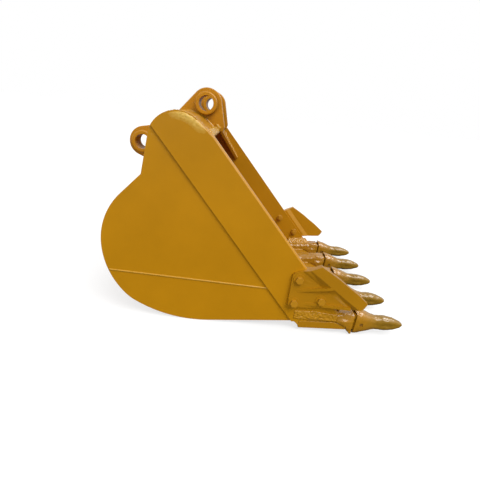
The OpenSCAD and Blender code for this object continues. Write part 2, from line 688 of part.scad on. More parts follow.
wrapper();
throat_plate();
shoulder_plate(-1);  // shoulder_plate_left
shoulder_plate(1);  // shoulder_plate_right
side_plate(-1);  // side_plate_left
side_plate(1);  // side_plate_right
lower_side_plate(-1);  // lower_side_plate_left
lower_side_plate(1);  // lower_side_plate_right
side_bar(-1);  // side_bar_left
side_bar(1);  // side_bar_right
corner_gusset(-1);  // corner_gusset_left
corner_gusset(1);  // corner_gusset_right
ear(-1);  // ear_left
ear(1);  // ear_right
boss(-1, [0, 0], 1, outer_boss_t);  // stick_boss_outer_left
boss(1, [0, 0], 1, outer_boss_t);  // stick_boss_outer_right
boss(-1, [0, 0], -1, inner_boss_t);  // stick_boss_inner_left
boss(1, [0, 0], -1, inner_boss_t);  // stick_boss_inner_right
boss(-1, link_pin, 1, outer_boss_t);  // link_boss_outer_left
boss(1, link_pin, 1, outer_boss_t);  // link_boss_outer_right
boss(-1, link_pin, -1, inner_boss_t);  // link_boss_inner_left
boss(1, link_pin, -1, inner_boss_t);  // link_boss_inner_right
lip();
adapter(1);  // adapter_1
adapter(2);  // adapter_2
adapter(3);  // adapter_3
adapter(4);  // adapter_4
adapter(5);  // adapter_5
tooth(1);  // tooth_1
tooth(2);  // tooth_2
tooth(3);  // tooth_3
tooth(4);  // tooth_4
tooth(5);  // tooth_5
tooth_pin(1);  // tooth_pin_1
tooth_pin(2);  // tooth_pin_2
tooth_pin(3);  // tooth_pin_3
tooth_pin(4);  // tooth_pin_4
tooth_pin(5);  // tooth_pin_5
pin_retainer(1);  // pin_retainer_1
pin_retainer(2);  // pin_retainer_2
pin_retainer(3);  // pin_retainer_3
pin_retainer(4);  // pin_retainer_4
pin_retainer(5);  // pin_retainer_5
side_cutter(-1);  // side_cutter_left
side_cutter(1);  // side_cutter_right
cutter_bolts(-1);  // cutter_bolts_left
cutter_bolts(1);  // cutter_bolts_right
cutter_washers(-1);  // cutter_washers_left
cutter_washers(1);  // cutter_washers_right
cutter_nuts(-1);  // cutter_nuts_left
cutter_nuts(1);  // cutter_nuts_right
side_weld(-1);  // side_weld_left
side_weld(1);  // side_weld_right
ear_weld(-1);  // ear_weld_left
ear_weld(1);  // ear_weld_right
lip_weld(-1);  // lip_weld_left
lip_weld(1);  // lip_weld_right
lip_floor_weld();
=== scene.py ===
import json
import math

import bmesh
import bpy
import numpy as np
from mathutils import Matrix, Vector, noise


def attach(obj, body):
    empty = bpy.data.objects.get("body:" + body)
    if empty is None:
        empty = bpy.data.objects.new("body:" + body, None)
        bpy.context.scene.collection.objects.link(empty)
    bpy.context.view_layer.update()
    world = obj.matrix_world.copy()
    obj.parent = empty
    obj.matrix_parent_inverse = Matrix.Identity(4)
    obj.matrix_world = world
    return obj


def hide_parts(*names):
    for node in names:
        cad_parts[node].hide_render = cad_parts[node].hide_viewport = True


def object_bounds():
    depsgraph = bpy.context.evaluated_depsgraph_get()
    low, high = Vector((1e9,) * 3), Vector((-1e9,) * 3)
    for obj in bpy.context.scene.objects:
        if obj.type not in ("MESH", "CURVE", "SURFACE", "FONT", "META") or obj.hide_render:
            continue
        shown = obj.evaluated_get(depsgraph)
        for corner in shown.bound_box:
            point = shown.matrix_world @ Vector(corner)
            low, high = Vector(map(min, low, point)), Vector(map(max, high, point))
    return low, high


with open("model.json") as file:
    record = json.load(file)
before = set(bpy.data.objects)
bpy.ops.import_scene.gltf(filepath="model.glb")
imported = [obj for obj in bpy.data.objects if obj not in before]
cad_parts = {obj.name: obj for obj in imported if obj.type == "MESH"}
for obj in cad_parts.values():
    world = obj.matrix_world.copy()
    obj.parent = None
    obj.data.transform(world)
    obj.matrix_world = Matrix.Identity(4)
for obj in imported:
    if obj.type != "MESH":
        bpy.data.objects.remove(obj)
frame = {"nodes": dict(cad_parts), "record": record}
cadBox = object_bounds()
nodes = frame["nodes"]
mm = 0.001
rootBody = "root"
print("frame loaded:", len(nodes), "nodes")

# Places shared with the frame, in mm and degrees, with the floor plate level and the stick pin at the origin
place = {
    "pinHeight": 1118.0,  # stick pin above the floor plate
    "heelStart": 13.0,  # where the heel starts, in front of the stick pin
    "heelRadius": 700.0,
    "backArcs": ((700, 33), (255, 17), (414, 40), (348, 49)),  # radius and sweep of the rolled plate
    "arcSteps": 12,
    "droopStart": 470.0,  # where the floor starts to droop
    "droop": 2.5,
    "floorFrom": 300.0,  # level stretch of the floor that the side bar crosses
    "plateInset": 5.0,  # rolled plate inside the edges of the sides
    "lipBack": 32.0,  # start of the droop to the rear edge of the lip
    "collar": 297.0,  # rear edge of the lip to the tooth collar
    "halfWidth": 650.0,
    "barThick": 34.0,
    "plateThick": 24.0,
    "toothPitch": 299.0,
    "toothCount": 5,
    "earIn": 185.0,
    "earOut": 235.0,
    "humpRadius": 142.0,  # the round shoulder, its centre behind and below the stick pin
    "humpBack": 109.0,
    "humpDrop": 178.0,
    "humpLean": 13.6,  # its rear edge off the vertical
    "humpSlope": 45.0,  # its straight edge down to the mouth
    "humpFront": 108.0,
    "mouthAngle": 54.8,
    "barTop": 215.0,  # side bar's width across the mouth's edge
    "barBottom": 235.0,
    "splitDrop": 888.0,  # line between the two side plates, below the stick pin
    "splitSlope": 7.1,
    "backHeading": 41.0,  # heading of the rolled plate where it ends
    "runIn": 55.0,  # how far it runs on to the throat plate
    "collarHeight": 141.0,
    "toothLength": 277.0,
    "toothWidth": 108.0,
    "tipRise": 1.0,
    "restAhead": 0.007,  # lowest point of the collar, in shares of the tooth's length
    "restBelow": 0.515,  # the same, in shares of the collar's height
    "gussetRecess": 31.0,  # corner gusset behind the mouth's edge
    "gussetTurn": 8.2,
    "gussetDown": 243.0,
}


def polar(angle, distance):
    a = math.radians(angle)
    return np.array((distance * math.cos(a), distance * math.sin(a)))


def go(point, angle, distance):
    return np.asarray(point, float) + polar(angle, distance)


# Where two lines cross, each given by a point and a heading
def meet(p, a, q, b):
    a, b = math.radians(a), math.radians(b)
    k = ((q[0] - p[0]) * math.sin(b) - (q[1] - p[1]) * math.cos(b)) / math.sin(b - a)
    return np.array((p[0] + k * math.cos(a), p[1] + k * math.sin(a)))


# A place on the lip: s forward from its rear edge, t up from its top
def lipPoint(s, t):
    start = go((place["droopStart"], -place["pinHeight"]), 90 - place["droop"] / 2,
               place["plateInset"] / math.cos(math.radians(place["droop"] / 2)))
    return go(go(go(start, -place["droop"], place["lipBack"]), -place["droop"], s), 90 - place["droop"], t)


humpCentre = np.array((-place["humpBack"], -place["humpDrop"]))
restFoot = lipPoint(place["collar"] + place["restAhead"] * place["toothLength"],
                    place["tipRise"] - place["restBelow"] * place["collarHeight"])
heelCentre = np.array((place["heelStart"], place["heelRadius"] - place["pinHeight"]))
toHeel = heelCentre - restFoot
restTilt = math.pi - math.atan2(toHeel[1], toHeel[0]) - math.asin(place["heelRadius"] / np.hypot(*toHeel))


# Bucket coordinates in mm (forward, across, up with a level floor plate) to the frame in metres
def toRow(x, y, z):
    c, s = math.cos(restTilt), math.sin(restTilt)
    return Vector(((x * c - z * s) * mm, y * mm, (x * s + z * c) * mm))


def lipToRow(s, y, t):
    p = lipPoint(s, t)
    return toRow(p[0], y, p[1])


# Places in a plane across the bucket, to a path in the frame
def rowPath(points, y):
    return [toRow(p[0], y, p[1]) for p in points]


# Smooth noise about 0
def wander(x, y, z):
    return noise.noise(Vector((x, y, z)))


# 0 before start, 1 from start + run on
def ramp(value, start, run):
    return min(1.0, max(0.0, (value - start) / run))


paint = {
    "gold": (0.46, 0.205, 0.002),
    # painted shade: a darker copy of the gold for the near side cutter and the lip
    "cutter": (0.39, 0.175, 0.003),
    # painted shade: a darker copy of the gold for the ears and their bosses
    "ear": (0.42, 0.175, 0.002),
    # painted shadow: dark colour of the bead along the side bar, for the shade at the bar's step
    "seam": (0.28, 0.095, 0.001),
    "inner": (0.42, 0.17, 0.004),
    "tooth": (0.265, 0.142, 0.009),
    "cast": (0.37, 0.168, 0.006),
    "weld": (0.46, 0.215, 0.006),
    "crown": (0.74, 0.49, 0.11),  # painted highlight: the pale sheen on the ground-back shoulder weld
    "pale": (0.50, 0.255, 0.02),  # painted highlight: a pale weld colour for the bright split, front and gusset beads
    "hardware": (0.45, 0.205, 0.006),
    "steel": (0.20, 0.095, 0.012),  # overspray on the ends of the tooth pins, darkened as painted shade for the pin holes
}
surface = {
    "toneDetail": 8.0,  # soft tone patches
    "toneRough": 0.62,
    "smoother": 0.06,  # how far the roughness drops and rises with the tone
    "rougher": 0.08,
    "coatRough": 0.12,
    "peelScale": 170.0,  # orange peel
    "peelDetail": 2.5,
    "peelStrength": 0.5,
    "edgeStart": 0.53,  # how sharp a form is where its lighter edge starts, and where it is full; partly wear, partly painted highlight
    "edgeEnd": 0.62,
    "edgeSheenFactor": 1.3,
    "edgeSheenLift": 0.03,
    "chipScale": 70.0,  # breaks up the lighter edges
    "chipDetail": 6.0,
    "chipFrom": 0.46,
    "chipTo": 0.62,
    "lowFrom": 0.5,  # how hollow a form is where the darkening starts, and where it is full
    "lowTo": 0.42,
    "hollowDarkFactor": 0.55,
    "hollowDarkAmount": 0.6,
}
collarFade = {"start": 0.95, "end": 1.06}  # metres forward: the blades lost more paint than the collars


# A shader node: feeds holds its sockets' values, or the sockets that are linked to them
def addNode(tree, kind, feeds=(), **options):
    node = tree.nodes.new("ShaderNode" + kind)
    for name, value in options.items():
        setattr(node, name, value)
    for name, value in dict(feeds).items():
        if isinstance(value, bpy.types.NodeSocket):
            tree.links.new(value, node.inputs[name])
        else:
            node.inputs[name].default_value = value
    return node


def multiply(tree, first, second):
    return addNode(tree, "Math", {0: first, 1: second}, operation="MULTIPLY").outputs["Value"]


def mixColour(tree, amount, first, second):
    feeds = {"Factor": amount, "A": first, "B": second}
    return addNode(tree, "Mix", feeds, data_type="RGBA").outputs["Result"]


def shade(colour, factor, lift=0.0):
    return (*[min(1, c * factor + lift) for c in colour], 1)


# Node group: soft tone patches, fine orange peel, darkening in the low places and lighter edges (partly wear,
# partly painted highlight), as plain masks
def makeSurfaceGroup():
    tree = bpy.data.node_groups.new("paintSurface", "ShaderNodeTree")
    for name in ("toneScale", "peelScale", "edgeStart", "edgeEnd", "curved"):
        tree.interface.new_socket(name, in_out="INPUT", socket_type="NodeSocketFloat")
    for name in ("tone", "peel", "edge", "hollowDark"):
        tree.interface.new_socket(name, in_out="OUTPUT", socket_type="NodeSocketFloat")
    given = tree.nodes.new("NodeGroupInput").outputs
    result = tree.nodes.new("NodeGroupOutput").inputs
    spot = addNode(tree, "TexCoord").outputs["Object"]
    bend = addNode(tree, "NewGeometry").outputs["Pointiness"]
    bevelWearSheen = addNode(tree, "Attribute", attribute_name="edge").outputs["Fac"]  # the bevels of cut plate, lightened as wear and painted highlight
    tone = addNode(tree, "TexNoise", {"Vector": spot, "Scale": given["toneScale"],
                                      "Detail": surface["toneDetail"], "Roughness": surface["toneRough"]})
    peel = addNode(tree, "TexNoise", {"Vector": spot, "Scale": given["peelScale"],
                                      "Detail": surface["peelDetail"]})
    chips = addNode(tree, "TexNoise", {"Vector": spot, "Scale": surface["chipScale"],
                                       "Detail": surface["chipDetail"]})
    chipStep = addNode(tree, "MapRange", {"Value": chips.outputs["Fac"], "From Min": surface["chipFrom"],
                                          "From Max": surface["chipTo"]})
    edge = addNode(tree, "MapRange", {"Value": bend, "From Min": given["edgeStart"],
                                      "From Max": given["edgeEnd"]})
    low = addNode(tree, "MapRange", {"Value": bend, "From Min": surface["lowFrom"],
                                     "From Max": surface["lowTo"]})
    curved = multiply(tree, edge.outputs["Result"], given["curved"])
    either = addNode(tree, "Math", {0: curved, 1: bevelWearSheen}, operation="MAXIMUM").outputs["Value"]
    tree.links.new(tone.outputs["Fac"], result["tone"])
    tree.links.new(peel.outputs["Fac"], result["peel"])
    tree.links.new(multiply(tree, either, chipStep.outputs["Result"]), result["edge"])
    tree.links.new(multiply(tree, low.outputs["Result"], given["curved"]), result["hollowDark"])
    return tree


surfaceGroup = makeSurfaceGroup()


def makePaint(name, colour, rough=0.38, coat=0.07, toneScale=3.2, toneDepth=0.17, peel=0.00012, wearAndSheen=0.35,
              curved=0.0, shine=0.3):
    material = bpy.data.materials.new(name)
    material.use_nodes = True
    tree = material.node_tree
    shader = tree.nodes["Principled BSDF"].inputs
    group = addNode(tree, "Group", node_tree=surfaceGroup)
    given = {"toneScale": toneScale, "peelScale": surface["peelScale"], "edgeStart": surface["edgeStart"],
             "edgeEnd": surface["edgeEnd"], "curved": curved}
    for socket, value in given.items():
        group.inputs[socket].default_value = value
    masks = group.outputs
    toned = mixColour(tree, masks["tone"], shade(colour, 1 - toneDepth), shade(colour, 1 + toneDepth))
    # Darker in the hollows
    hollowDarkened = mixColour(tree, multiply(tree, masks["hollowDark"], surface["hollowDarkAmount"]), toned,
                      shade(colour, surface["hollowDarkFactor"]))
    # Lighter edges: partly wear, partly a painted highlight
    edgeWearSheen = mixColour(tree, multiply(tree, masks["edge"], wearAndSheen), hollowDarkened,
                     shade(colour, surface["edgeSheenFactor"], surface["edgeSheenLift"]))
    tree.links.new(edgeWearSheen, shader["Base Color"])
    roughMap = addNode(tree, "MapRange", {"Value": masks["tone"], "To Min": rough - surface["smoother"],
                                          "To Max": rough + surface["rougher"]})
    tree.links.new(roughMap.outputs["Result"], shader["Roughness"])
    bump = addNode(tree, "Bump", {"Strength": surface["peelStrength"], "Distance": peel,
                                  "Height": masks["peel"]})
    tree.links.new(bump.outputs["Normal"], shader["Normal"])
    shader["Metallic"].default_value = 0.0
    shader["Specular IOR Level"].default_value = shine
    shader["Coat Weight"].default_value = coat
    shader["Coat Roughness"].default_value = surface["coatRough"]
    return material


# Lays a second colour over a paint's own
def blendOver(material, amount, colour):
    tree = material.node_tree
    base = tree.nodes["Principled BSDF"].inputs["Base Color"]
    tree.links.new(mixColour(tree, amount, base.links[0].from_socket, (*colour, 1)), base)


materials = {
    "body_paint": makePaint("bodyPaint", paint["gold"]),
    "inner_paint": makePaint("innerPaint", paint["inner"], rough=0.4, coat=0.0),
    "tooth_paint": makePaint("toothPaint", paint["tooth"], rough=0.22, coat=0.12, toneScale=9.0,
                             toneDepth=0.28, peel=0.0010, wearAndSheen=0.7, curved=1.0, shine=0.5),
    "cast_paint": makePaint("castPaint", paint["cast"], rough=0.22, coat=0.15, toneScale=12.0,
                            toneDepth=0.2, peel=0.0007, wearAndSheen=0.5, curved=1.0, shine=0.5),
    "weld_paint": makePaint("weldPaint", paint["weld"], rough=0.32, peel=0.0006, curved=1.0, shine=0.5),
    "hardware_paint": makePaint("hardwarePaint", paint["hardware"], coat=0.15, wearAndSheen=0.6, shine=0.5),
    "pin_steel": makePaint("pinSteel", paint["steel"], rough=0.42, coat=0.0, toneDepth=0.3),
}
# Darker gold for the near side cutter and the lip: painted shade
shadedGoldPaint = makePaint("shadedGoldPaint", paint["cutter"])
# Pale copy of the weld paint: a painted highlight for the beads it finishes
highlightWeldPaint = makePaint("highlightWeldFinish", paint["pale"], rough=0.27, peel=0.0006, curved=1.0, shine=0.5)
# The shoulder patch: gold with a painted highlight laid over it where its fade attribute is high
crownSheenPaint = makePaint("crownSheenPaint", paint["gold"], rough=0.3, coat=0.1)
crownSheenMask = addNode(crownSheenPaint.node_tree, "Attribute", attribute_name="fade").outputs["Fac"]
blendOver(crownSheenPaint, crownSheenMask, paint["crown"])
toothTree = materials["tooth_paint"].node_tree
toothSpot = addNode(toothTree, "TexCoord").outputs["Object"]
toothAhead = addNode(toothTree, "SeparateXYZ", {"Vector": toothSpot}).outputs["X"]
toothFade = addNode(toothTree, "MapRange", {"Value": toothAhead, "From Min": collarFade["end"],
                                            "From Max": collarFade["start"]}).outputs["Result"]
blendOver(materials["tooth_paint"], toothFade, paint["cast"])
# Darker gold for the ears and bosses: painted shade
shadedEarPaint = makePaint("shadedEarPaint", paint["ear"])
# Dark paint for the side bar's seam bead: a painted shadow
seamShadowPaint = makePaint("seamShadowPaint", paint["seam"])
print("materials done")

nodeSlots = {entry["node"]: entry["material_slot"] for entry in frame["record"]["subparts"]}
nodeCleaning = {"merge": 0.00002, "flat": 0.6}  # metres, degrees
bead = {
    "sides": 8,
    "ripple": 0.9,
    "pitch": 7.0,
    "ringsPerRipple": 4,
    "end": 0.5,  # size of the ends, in shares of the bead's
    "vary": 0.10,  # how much the size wanders, and how fast
    "varyRate": 0.03,
    "ground": 0.7,  # share of a ripple that stays under the mean size
    "lean": 1.2,  # how far a ripple leans along the bead
}
cast = {
    "finerLump": 0.4,  # smaller lumps on the large ones
    "finer": 2.6,
    "adapterVoxel": 3.5,  # how finely it is melted together, and how often it is smoothed
    "adapterPasses": 5,
    "adapterLump": 2.6,  # height and size of the lumps
    "adapterGrain": 30.0,
    "toothLump": 1.7,
    "toothGrain": 20.0,
    "toothSharp": 40.0,
    "weldVoxel": 2.4,
    "weldPasses": 2,
    "weldLump": 3.3,
    "weldGrain": 12.0,
}


def finishMesh(mesh, sharp=32.0):
    mesh.shade_smooth()
    mesh.set_sharp_from_angle(angle=math.radians(sharp))


def addPiece(name, bm, slot, replaced=(), sharp=32.0, finish=None):
    bmesh.ops.recalc_face_normals(bm, faces=bm.faces)
    mesh = bpy.data.meshes.new(name)
    bm.to_mesh(mesh)
    bm.free()
    finishMesh(mesh, sharp)
    mesh.materials.append(finish or materials[slot])
    piece = bpy.data.objects.new(name, mesh)
    bpy.context.collection.objects.link(piece)
    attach(piece, rootBody)
    if replaced:
        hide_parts(*replaced)
    return piece


def addWeld(name, bm, replaced=(), finish=None):
    return addPiece(name, bm, "weld_paint", replaced, 60.0, finish)


def applyModifiers(piece):
    graph = bpy.context.evaluated_depsgraph_get()
    mesh = bpy.data.meshes.new_from_object(piece.evaluated_get(graph))
    piece.modifiers.clear()
    piece.data = mesh


# Lumps of a casting or of hand welding, along the surface's normals, in mm and inside the frame's box
def roughen(piece, lump, grain, seed=0.0, sharp=50.0):
    mesh = piece.data
    normals = [v.normal.copy() for v in mesh.vertices]
    for v, n in zip(mesh.vertices, normals):
        at = v.co / (grain * mm) + Vector((seed, 0, 0))
        v.co += n * (lump * mm * (noise.noise(at) + cast["finerLump"] * noise.noise(at * cast["finer"])))
        v.co.x, v.co.z = min(v.co.x, cadBox[1][0]), max(v.co.z, cadBox[0][2])
    finishMesh(mesh, sharp)


# One skin round everything in a piece, with soft corners
def meltPiece(piece, voxel, passes):
    remesh = piece.modifiers.new("skin", "REMESH")
    remesh.mode, remesh.voxel_size = "VOXEL", voxel * mm
    soften = piece.modifiers.new("soft", "SMOOTH")
    soften.factor, soften.iterations = 0.5, passes
    applyModifiers(piece)


# A CAD node with its cut edges rounded, as flame-cut and ground plate has
def roundedNode(name, radius, segments=2, corner=28.0, sharp=32.0, finish=None):
    bm = bmesh.new()
    bm.from_mesh(nodes[name].data)
    bmesh.ops.remove_doubles(bm, verts=bm.verts, dist=nodeCleaning["merge"])
    bmesh.ops.dissolve_limit(bm, angle_limit=math.radians(nodeCleaning["flat"]), verts=bm.verts,
                             edges=bm.edges)
    edges = [e for e in bm.edges if e.is_manifold and e.calc_face_angle(0.0) > math.radians(corner)]
    made = bmesh.ops.bevel(bm, geom=edges, offset=radius * mm, offset_type="OFFSET", segments=segments,
                           profile=0.5, affect="EDGES", clamp_overlap=True, material=-1)
    ground = bm.loops.layers.float.new("edge")
    for face in made["faces"]:
        for loop in face.loops:
            loop[ground] = 1.0
    piece = addPiece(name + "Dressed", bm, nodeSlots[name], (name,), sharp, finish)
    flat = piece.modifiers.new("flat", "WEIGHTED_NORMAL")
    flat.mode, flat.keep_sharp = "FACE_AREA", True
    applyModifiers(piece)
    return piece


# A skin over closed rings of points, with both ends filled; nested rings turn back inside the form
def loftRings(bm, rings, nested=False):
    loops = [[bm.verts.new(p) for p in ring] for ring in rings]
    edges = [[bm.edges.new(pair) for pair in zip(loop, loop[1:] + loop[:1])] for loop in loops]
    for joined in (zip(edges, edges[1:]) if nested else [edges]):
        bmesh.ops.bridge_loops(bm, edges=[edge for loop in joined for edge in loop])
    for end in (edges[0], edges[-1]):
        bmesh.ops.edgeloop_fill(bm, edges=end)
    return loops


# A bead of weld with ripples, laid along a path of places in the frame
def weldBead(bm, path, width, ripple=bead["ripple"], pitch=bead["pitch"], seed=0.0, end=bead["end"]):
    path = [Vector(p) for p in path]
    lengths = [0.0]
    for a, b in zip(path, path[1:]):
        lengths.append(lengths[-1] + (b - a).length / mm)
    count = max(3, int(lengths[-1] / (pitch / bead["ringsPerRipple"])))
    turns = [2 * math.pi * j / bead["sides"] for j in range(bead["sides"])]
    rings = []
    for k in range(count + 1):
        at = lengths[-1] * k / count
        i = min(len(path) - 2, max(0, int(np.searchsorted(lengths, at)) - 1))
        share = (at - lengths[i]) / max(1e-6, lengths[i + 1] - lengths[i])
        centre = path[i].lerp(path[i + 1], share)
        along = (path[i + 1] - path[i]).normalized()
        across = along.orthogonal().normalized()
        other = along.cross(across)
        phase = (at / pitch) % 1.0
        wave = math.sqrt(max(0.0, 1 - (2 * phase - 1) ** 2)) - bead["ground"]
        radius = width * (1 + bead["vary"] * wander(at * bead["varyRate"], seed, 0.0)) + ripple * wave
        if k in (0, count):
            radius *= end
        slide = along * (ripple * mm * bead["lean"])
        rings.append([centre + (across * math.cos(a) + other * math.sin(a)) * (radius * mm) +
                      slide * math.sin(a) for a in turns])
    loftRings(bm, rings)


def toothY(i):
    return (i - (place["toothCount"] - 1) / 2) * place["toothPitch"]


edgeRadius = {"plate": 2.0, "bar": 3.5, "ear": 5.0, "boss": 2.5, "lip": 3.0, "cutter": 3.0, "adapter": 5.0,
              "bolts": 3.0, "washers": 1.5, "nuts": 2.5, "pin": 1.5, "retainer": 1.0, "weld": 2.0}
cutterEdges = {"corner": 18.0, "sharp": 12.0}  # the cutter's folds are shallow
toothJoint = {
    "hollow": 15.0,  # how far the joint between adapter and tooth bows forward
    # height in shares of half the collar, share of the bow
    "bow": ((-1.1, -0.1), (-0.8, 0.1), (0.0, 0.55), (0.45, 0.92), (0.65, 1.0), (0.85, 0.6), (1.1, -0.2)),
}
adapterShape = {
    "shoulder": 9.0,  # behind the collar
    "noseGap": 1.0,
    "noseLength": 104.0,
    "bowRun": 40.0,  # over which the joint's bow fades out behind the shoulder
    "plainTop": 45.0,  # top of the solid, and how it rises to the collar
    "plainRise": 18.4,
    "plainFrom": 240.0,
    "plainRun": 48.0,
    "flowTop": 46.0,  # top of the casting, which rises in one sweep
    "rise": 7.0,
    "flowFrom": 90.0,
    "flowRun": 150.0,
    "crown": 0.22,  # how the top draws in
    "crownFrom": 15.0,
    "crownRun": 45.0,
    "swell": 0.17,  # cheeks beside the collar
    "cheekAt": 246.0,
    "cheekSpread": 30.0,
    "ledge": 15.0,
    "ledgeTop": 22.0,
    "cheekFoot": -46.0,
    "cheekFade": 20.0,
}


def jointBow(t):
    table = np.array(toothJoint["bow"])
    return float(np.interp(2 * t / place["collarHeight"], table[:, 0], table[:, 1]))


# The flowing top and the swollen cheeks of a cast adapter, with s and t as for a place on the lip
def shapeAdapter(piece, middle):
    form = adapterShape
    origin = lipToRow(0, 0, 0)
    ahead, above = (lipToRow(1, 0, 0) - origin) / mm, (lipToRow(0, 0, 1) - origin) / mm
    shoulder = place["collar"] - form["shoulder"]
    for v in piece.data.vertices:
        d = (v.co - origin) / mm
        s, t, y = d.dot(ahead), d.dot(above), d.y - middle
        bow = toothJoint["hollow"] * jointBow(t - place["tipRise"])
        if s >= shoulder + form["noseGap"]:
            v.co += ahead * (bow * mm * max(0.0, 1 - (s - shoulder) / form["noseLength"]))
            continue
        v.co += ahead * (bow * mm * ramp(s, shoulder - form["bowRun"], form["bowRun"]))
        plain = form["plainTop"] + form["plainRise"] * ramp(s, form["plainFrom"], form["plainRun"])
        rise = ramp(s, form["flowFrom"], form["flowRun"])
        wanted = form["flowTop"] + form["rise"] * rise * rise * (3 - 2 * rise)
        newT = t * (wanted / plain) if t > 0 else t
        crown = 1 - form["crown"] * rise * ramp(t, form["crownFrom"], form["crownRun"]) ** 2
        reach = (math.exp(-((s - form["cheekAt"]) / form["cheekSpread"]) ** 2) *
                 ramp(form["ledgeTop"] - t, 0, form["ledge"]) * ramp(t, form["cheekFoot"], form["cheekFade"]))
        newY = y * crown * (1 + form["swell"] * reach)
        v.co += above * ((newT - t) * mm) + Vector((0, (newY - y) * mm, 0))


for side in ("left", "right"):
    roundedNode("side_bar_" + side, edgeRadius["bar"], 3)
    for plate in ("side_plate_", "lower_side_plate_", "shoulder_plate_", "corner_gusset_"):
        roundedNode(plate + side, edgeRadius["plate"])
    # The ears take the darker gold: painted shade
    roundedNode("ear_" + side, edgeRadius["ear"], 3, finish=shadedEarPaint)
    # The near (left) cutter gets the darker gold as painted shade; the far one keeps the body gold
    roundedNode("side_cutter_" + side, edgeRadius["cutter"], 3, cutterEdges["corner"], cutterEdges["sharp"],
                finish=shadedGoldPaint if side == "left" else None)
    # The bosses take the darker ear gold too: painted shade
    for boss in ("stick_boss_outer_", "stick_boss_inner_", "link_boss_outer_", "link_boss_inner_"):
        roundedNode(boss + side, edgeRadius["boss"], finish=shadedEarPaint)
    for hardware in ("bolts", "washers", "nuts"):
        roundedNode("cutter_%s_%s" % (hardware, side), edgeRadius[hardware], 3)
roundedNode("wrapper", edgeRadius["plate"])
roundedNode("throat_plate", edgeRadius["plate"])
# The lip gets the darker gold: painted shade
roundedNode("lip", edgeRadius["lip"], 3, finish=shadedGoldPaint)
for i in range(place["toothCount"]):
    adapter = roundedNode("adapter_%d" % (i + 1), edgeRadius["adapter"])
    meltPiece(adapter, cast["adapterVoxel"], cast["adapterPasses"])
    shapeAdapter(adapter, toothY(i))
    roughen(adapter, cast["adapterLump"], cast["adapterGrain"], i)
    roundedNode("tooth_pin_%d" % (i + 1), edgeRadius["pin"])
    roundedNode("pin_retainer_%d" % (i + 1), edgeRadius["retainer"])
print("plates and adapters done")

toothShape = {
    # share of the length, top and bottom in shares of the collar height, half width share, roundness
    "stations": (
        (0.000, 0.455, -0.500, 0.500, 3.4),
        (0.030, 0.450, -0.515, 0.500, 3.3),
        (0.070, 0.440, -0.510, 0.498, 3.2),
        (0.120, 0.410, -0.480, 0.494, 3.1),
        (0.200, 0.365, -0.440, 0.475, 3.0),
        (0.290, 0.290, -0.405, 0.430, 3.0),
        (0.370, 0.215, -0.370, 0.365, 3.0),
        (0.440, 0.175, -0.352, 0.315, 2.9),
        (0.500, 0.160, -0.365, 0.305, 2.8),
        (0.580, 0.160, -0.380, 0.320, 2.8),
        (0.660, 0.152, -0.385, 0.325, 2.8),
        (0.740, 0.125, -0.372, 0.305, 2.8),
        (0.820, 0.080, -0.350, 0.272, 2.8),
        (0.900, 0.020, -0.310, 0.230, 2.8),
        (0.950, -0.035, -0.275, 0.200, 2.7),
        (0.985, -0.080, -0.235, 0.165, 2.6),
        (1.000, -0.115, -0.195, 0.110, 2.5),
    ),
    "ringPoints": 56,
    "steps": 72,
    "packing": 0.92,  # rings lie closer towards the collar
    "smoothing": 0.018,  # share of the length over which the stations blend
    "bowFade": 0.12,  # share of the length over which the joint's bow fades out
    "wall": 11.0,  # wall of the collar
    "rimRound": 2.0,
    "rimEdge": 2.5,
    "rimDepth": 1.5,
    "rimLead": 1.2,
    "pocket": 26.0,  # depth of the open pocket that shows at the joint
    "pocketBow": 0.3,
    "fullerDepth": 4.0,  # hollow along each side of the blade
    "fullerWidth": 11.0,
    "fullerDrop": 4.0,
    "bladeAt": 0.66,  # its deepest place and its reach, in shares of the length
    "bladeSpan": 0.26,
    "pinRadius": 10.3,
    "pinIn": 42.0,
    "pinDrop": 10.0,
    "drillLength": 0.16,  # metres
    "drillSides": 40,
}


# A closed ring between an ellipse and a rectangle
def squircle(half, top, bottom, power, count):
    middle, rise = (top + bottom) / 2, (top - bottom) / 2
    points = []
    for j in range(count):
        a = 2 * math.pi * (j + 0.5) / count
        c, s = math.cos(a), math.sin(a)
        k = (abs(c) ** power + abs(s) ** power) ** (-1 / power)
        points.append((half * c * k, middle + rise * s * k))
    return points


stations = np.array(toothShape["stations"])


def stationAt(column, at):
    spread = toothShape["smoothing"]
    return np.mean([np.interp(min(1, max(0, at + d)), stations[:, 0], stations[:, column])
                    for d in (-spread, -spread / 2, 0, spread / 2, spread)])


def toothRing(middle, share, inset=0.0, shift=0.0, hollow=0.0):
    top = stationAt(1, share) * place["collarHeight"] - inset
    bottom = stationAt(2, share) * place["collarHeight"] + inset
    half = stationAt(3, share) * place["toothWidth"] - inset
    blade = max(0.0, 1 - abs(share - toothShape["bladeAt"]) / toothShape["bladeSpan"])
    ring = []
    for y, t in squircle(half, top, bottom, stationAt(4, share), toothShape["ringPoints"]):
        level = (t - (top + bottom) / 2 + toothShape["fullerDrop"]) / toothShape["fullerWidth"]
        y *= 1 - toothShape["fullerDepth"] * blade * math.exp(-level ** 2) / max(1.0, half)
        s = place["collar"] + share * place["toothLength"] + shift + hollow * jointBow(t)
        ring.append(lipToRow(s, middle + y, t + place["tipRise"]))
    return ring


